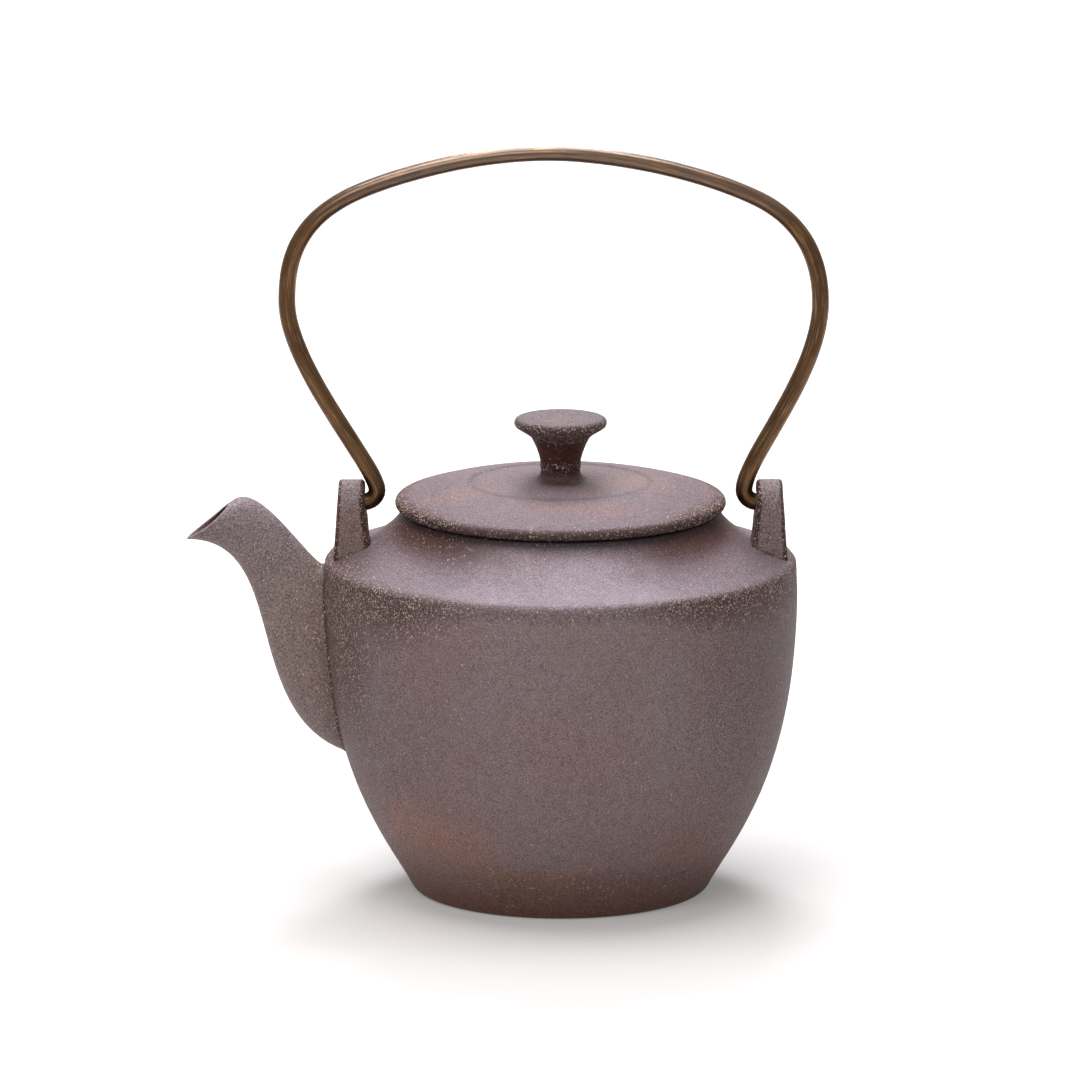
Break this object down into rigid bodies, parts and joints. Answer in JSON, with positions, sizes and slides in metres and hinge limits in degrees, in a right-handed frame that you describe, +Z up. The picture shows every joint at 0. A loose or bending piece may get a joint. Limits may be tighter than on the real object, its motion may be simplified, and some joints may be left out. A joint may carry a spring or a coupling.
{
  "type": "teapot",
  "caption": "Unglazed stoneware teapot with a lift-off knobbed lid, a short curved spout with an inner strainer, and a brass rod bail hinged in clay lugs.",
  "frame": {"origin": "on the pot's upright axis, at the plane that it stands on", "axes": "+Z up; the spout points to -X and the rear lug is at +X; the bail turns about X"},
  "size_m": [0.1667, 0.1236, 0.1968],
  "materials": {
    "pot_clay": "unglazed brown-purple stoneware, fine sandy grog, matt",
    "spout_clay": "unglazed brown-purple stoneware, fine sandy grog, matt",
    "inside_clay": "unglazed brown stoneware, matt",
    "lug_clay": "unglazed brown-purple stoneware, fine sandy grog, matt",
    "lid_clay": "unglazed brown-purple stoneware, fine sandy grog, matt",
    "knob_clay": "unglazed brown-purple stoneware, fine sandy grog, matt",
    "bail_brass": "brown patinated drawn rod, satin"
  },
  "bodies": {
    "pot": {"pot_body": "pot_clay", "spout": "spout_clay", "strainer": "inside_clay", "front_lug": "lug_clay", "rear_lug": "lug_clay"},
    "lid": {"lid_disc": "lid_clay", "lid_flange": "inside_clay", "lid_knob": "knob_clay"},
    "bail": {"bail_handle": "bail_brass"}
  },
  "joints": [
    {"name": "bail_fold", "type": "hinge", "parent": "pot", "child": "bail", "pos_m": [0, 0, 0.1025], "axis": [1, 0, 0], "range_deg": [-105, 105]},
    {"name": "lid_lift", "type": "slide", "parent": "pot", "child": "lid", "axis": [0, 0, 1], "range_m": [0, 0.06]}
  ]
}
